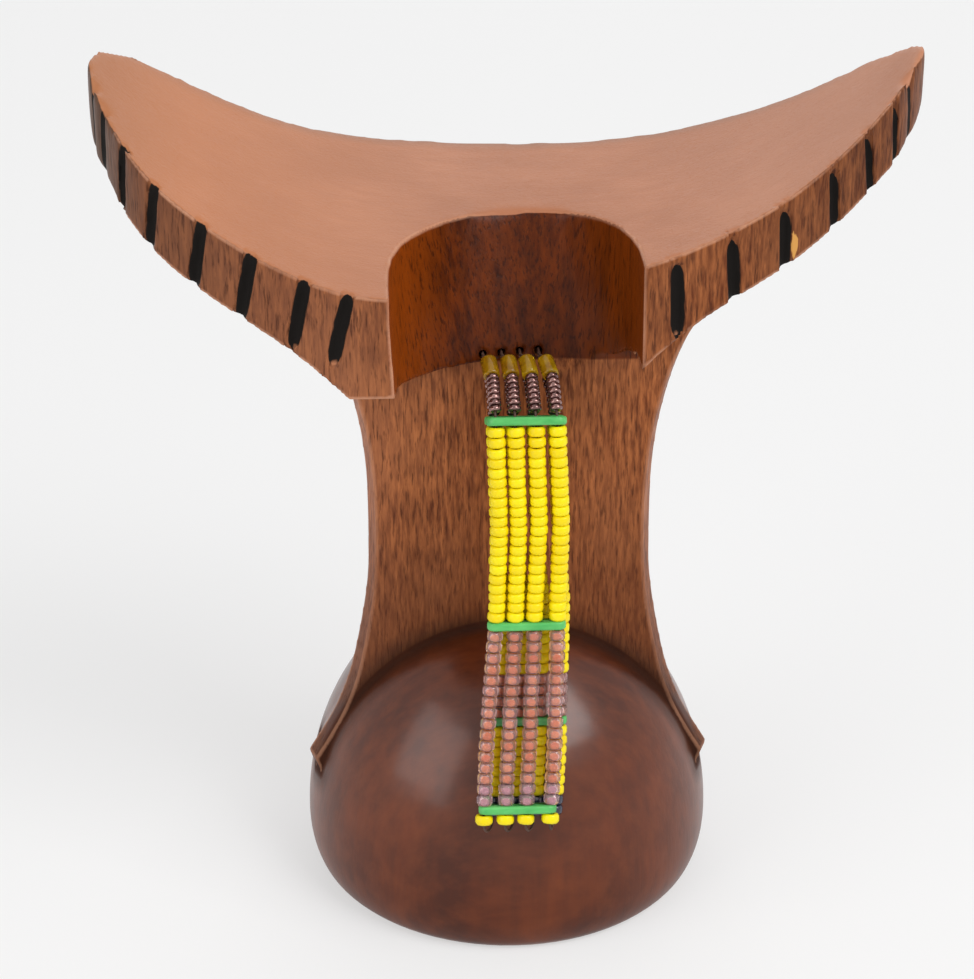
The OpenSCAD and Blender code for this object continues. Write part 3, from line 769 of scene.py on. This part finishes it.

# Every strung piece. One that a single thread carries has that thread's number in its name.
for label, kind in (("front_yellow", "front_yellow_strand"), ("rear_low", "rear_low_strand"),
                    ("rear_high", "rear_high_strand")):
    for strand in range(1, 5):
        string_beads(f"{label}_beads_{strand}", f"{kind}_{strand}",
                                           round_ring, yellow_glass)
string_beads("lowest_beads", "end_beads", round_ring, yellow_glass)
for run in ("front", "rear"):
    string_beads(f"{run}_lustre_beads", f"{run}_dark_beads", small_ring,
                                  maroon_glass, crooked=5)
string_beads("rear_navy_beads", "rear_end_beads", round_ring, navy_glass)


# Lilac beads.
# Clear pinkish lilac glass with a coppery lining in the bore, strung in two groups. The lowest two
# of each front strand are paler and have lost their lining's colour.
lined_ring = bead_mesh("lined_ring", [(0.57, -0.47), (0.82, -0.50), (1, -0.28),
                                      (1, 0.28), (0.82, 0.50), (0.57, 0.47)], 10)
lining_ring = bead_mesh("lining_ring", [(0.26, -0.45), (0.54, -0.46),
                                        (0.54, 0.46), (0.26, 0.45)], 8)
lilac_glass, tree, gloss = new_material("lilac_glass")
place = own_place(tree)
clouds = figured(tree, place, (1, 1, 1), 600, 0.45, 0.7)
tint = mixed(tree, field(tree, "tone"), (0.90, 0.55, 0.40), (0.90, 0.64, 0.66))
tint = mixed(tree, times(tree, clouds["Share"], 0.35), tint, (0.78, 0.50, 0.66))
tree.links.new(tint, gloss.inputs["Base Color"])
tree.links.new(between(tree, clouds["Height"], 0.3, 0.7, 0.03, 0.08), gloss.inputs["Roughness"])
gloss.inputs["Transmission Weight"].default_value = 0.85
gloss.inputs["IOR"].default_value = 1.4
copper_lining, tree, gloss = new_material("copper_lining")
place = own_place(tree)
clouds = figured(tree, place, (1, 1, 1), 900, 0.45, 0.7)
tint = mixed(tree, between(tree, field(tree, "tone"), 0, 0.75), (0.90, 0.30, 0.040),
             (1, 0.60, 0.11))
tint = mixed(tree, times(tree, clouds["Share"], 0.4), tint, (0.62, 0.17, 0.07))
tint = mixed(tree, between(tree, field(tree, "tone"), 0.8, 0.95), tint, (0.62, 0.44, 0.52))
tree.links.new(tint, gloss.inputs["Base Color"])
gloss.inputs["Metallic"].default_value = 0.2
gloss.inputs["Roughness"].default_value = 0.35
lilac_groups = [(strand, f"front_lilac_strand_{strand}", 2) for strand in range(1, 5)]
lilac_groups.append((1, "rear_lilac_beads", 0))
for strand, cad_node, pale in lilac_groups:
    name = cad_node.replace("_strand", "").replace("_beads", "")
    # The glass is placed by the same draws as the lining inside it
    start = chance.getstate()
    string_beads(f"{name}_linings", cad_node, lining_ring, copper_lining,
                                       pale_ends=pale)
    chance.setstate(start)
    string_beads(f"{name}_glass", cad_node, lined_ring, lilac_glass,
                                       pale_ends=pale)


# Amber tube beads.
# The four long beads at the top of the front run, cut from drawn tube of smoky amber glass.
tube_ring = bead_mesh("tube_ring", [(0.30, -0.49), (0.86, -0.50), (0.97, -0.46), (1, -0.40),
                                    (1, 0.40), (0.97, 0.46), (0.86, 0.50), (0.30, 0.49)], 16)
amber_glass, tree, gloss = new_material("amber_glass")
place = own_place(tree)
swirl = figured(tree, place, (1, 1, 0.6), 420, 0.4, 0.7)
tint = mixed(tree, field(tree, "tone"), (0.66, 0.37, 0.004), (0.92, 0.62, 0.014))
tree.links.new(mixed(tree, swirl["Share"], tint, (0.50, 0.25, 0.005)), gloss.inputs["Base Color"])
tree.links.new(between(tree, swirl["Height"], 0.3, 0.7, 0.06, 0.16), gloss.inputs["Roughness"])
gloss.inputs["Transmission Weight"].default_value = 0.6
gloss.inputs["IOR"].default_value = 1.45
string_beads("amber_tubes", "front_tube_beads", tube_ring, amber_glass,
                              crooked=0, uneven=0.01)


# Spacer bars.
# Flat bars of bright green plastic, drilled four times, that keep the strands side by side.
green_plastic, tree, gloss = new_material("green_plastic")
place = own_place(tree)
clouds = figured(tree, place, (0.4, 1, 1), 380)
tint = mixed(tree, clouds["Share"], (0.06, 0.40, 0.09), (0.13, 0.56, 0.15))
tree.links.new(tint, gloss.inputs["Base Color"])
tree.links.new(between(tree, clouds["Height"], 0.3, 0.7, 0.28, 0.42), gloss.inputs["Roughness"])
for cad_node in ("front_top_bar", "front_middle_bar", "bottom_bar", "rear_low_bar", "rear_top_bar"):
    bar = as_piece(merged_copy(cad_node), f"green_{cad_node}")
    edge = bar.modifiers.new("moulded_edge", "BEVEL")
    edge.width = 0.55 * MM
    edge.segments = 3
    edge.limit_method = "ANGLE"
    edge.angle_limit = math.radians(40)
    apply_modifiers(bar)
    shade_smooth(bar)
    bar.data.materials.clear()
    bar.data.materials.append(green_plastic)
    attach(bar, "strap")
    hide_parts(cad_node)


# Thread finish.
# Waxed dark thread. The strap shows each loop from hole to hole.
waxed_thread, tree, gloss = new_material("waxed_thread")
place = own_place(tree)
twist = figured(tree, place, (1, 1, 2), 2600)
tint = mixed(tree, twist["Share"], (0.045, 0.020, 0.012), (0.12, 0.055, 0.034))
tree.links.new(tint, gloss.inputs["Base Color"])
tree.links.new(between(tree, twist["Height"], 0.3, 0.7, 0.5, 0.7), gloss.inputs["Roughness"])
relief = node(tree, "ShaderNodeBump",
              {"Height": twist["Height"], "Strength": 0.4, "Distance": 0.0001})
tree.links.new(relief.outputs[0], gloss.inputs["Normal"])
for i, thread in enumerate(threads):
    thread.data.materials.append(waxed_thread)


# Knots and tails.
# Behind the column the two ends of each thread are tied in one knot, which can't slip back through
# the hole, and are cut a few millimetres long.
column_rear = 10.5
hole_mouth = -13.4
hole_fall = math.tan(math.radians(12))
knot_height = swing_height - (column_rear - hole_mouth) * hole_fall
knot_scale = 0.46
knot_strand = 1.1 * MM
knot_points = 48
knots = bmesh.new()
tails = bmesh.new()
for x in hole_places:
    turns = []
    for i in range(knot_points):
        angle = 2 * math.pi * i / knot_points
        turns.append(Vector((math.sin(angle) + 2 * math.sin(2 * angle), math.sin(3 * angle) * 1.1,
                             math.cos(angle) - 2 * math.cos(2 * angle))) * knot_scale * MM
                     + Vector((x, column_rear + 1.5, knot_height)) * MM)
    loop = thread_curve("knot_turns", turns, knot_strand)
    loop.data.splines[0].use_cyclic_u = True
    bpy.context.view_layer.update()
    knots.from_mesh(bpy.data.meshes.new_from_object(loop))
    bpy.data.objects.remove(loop)
    for side in (-1, 1):
        hole = [Vector((x, hole_mouth + along,
                        swing_height + side * 0.35 - along * hole_fall)) * MM
                for along in (1, 8, 16, 24.5)]
        out = [Vector((x + side * 0.1, column_rear + 2.6, knot_height + side * 0.35)) * MM,
               Vector((x + side * 0.25, column_rear + 4.8, knot_height + side * 0.5)) * MM,
               Vector((x + side * 0.1, column_rear + 7.4 + side, knot_height + side * 0.45)) * MM]
        for points in (hole, out):
            tail = thread_curve("tail", points, thread_width)
            bpy.context.view_layer.update()
            tails.from_mesh(bpy.data.meshes.new_from_object(tail))
            bpy.data.objects.remove(tail)
for shape, name, cad_node in ((knots, "tied_knots", "knots"),
                              (tails, "thread_tails", "thread_ends")):
    piece = as_piece(shape, name)
    shade_smooth(piece)
    piece.data.materials.clear()
    piece.data.materials.append(waxed_thread)
    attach(piece, "stool")
    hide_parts(cad_node)


# Floor and light.
# A pale seamless floor under plain soft light, with the key light from the upper right.
glow_share = 0.55
light_given = 0.52
brightness_seen = 0.9
lamp_aim = Vector((0, 0, 0.1))
floor_shape = bmesh.new()
bmesh.ops.create_grid(floor_shape, x_segments=1, y_segments=1, size=4)
floor = as_piece(floor_shape, "floor")


def seen_rays(tree):
    """1 for rays from the camera, and for those that a piece mirrors or lets through."""
    rays = node(tree, "ShaderNodeLightPath", {}).outputs
    seen = rays["Is Camera Ray"]
    for kind in ("Is Glossy Ray", "Is Transmission Ray"):
        either = node(tree, "ShaderNodeMath", {0: seen, 1: rays[kind]}, operation="MAXIMUM")
        seen = either.outputs[0]
    return seen


# What is seen of the floor glows a little, so that it stays as pale as the backdrop
pale, tree, gloss = new_material("pale_floor")
gloss.inputs["Base Color"].default_value = (0.86, 0.86, 0.86, 1)
gloss.inputs["Roughness"].default_value = 0.8
gloss.inputs["Specular IOR Level"].default_value = 0.1
glow = node(tree, "ShaderNodeEmission", {"Color": (0.92, 0.92, 0.92, 1), "Strength": 1})
blend = node(tree, "ShaderNodeMixShader", {0: times(tree, seen_rays(tree), glow_share)})
tree.links.new(gloss.outputs[0], blend.inputs[1])
tree.links.new(glow.outputs[0], blend.inputs[2])
tree.links.new(blend.outputs[0], tree.nodes["Material Output"].inputs["Surface"])
floor.data.materials.append(pale)

world = bpy.data.worlds.new("studio")
world.use_nodes = True
scene.world = world
world.node_tree.nodes["Background"].inputs["Color"].default_value = (1, 1, 1, 1)
tree = world.node_tree
tree.links.new(between(tree, seen_rays(tree), 0, 1, light_given, brightness_seen),
               tree.nodes["Background"].inputs["Strength"])
for name, place, size, power in (("key", (0.65, -0.55, 1.0), 0.7, 9),
                                 ("fill", (-0.9, -0.6, 0.6), 0.8, 4.5),
                                 ("back", (0.1, 0.9, 0.7), 1.0, 2.5)):
    lamp = bpy.data.lights.new(name, "AREA")
    lamp.size = size
    lamp.energy = power
    lamp_object = bpy.data.objects.new(name, lamp)
    scene.collection.objects.link(lamp_object)
    lamp_object.matrix_world = (Matrix.Translation(place)
                                @ looking_along(lamp_aim - Vector(place)))

bpy.context.view_layer.update()
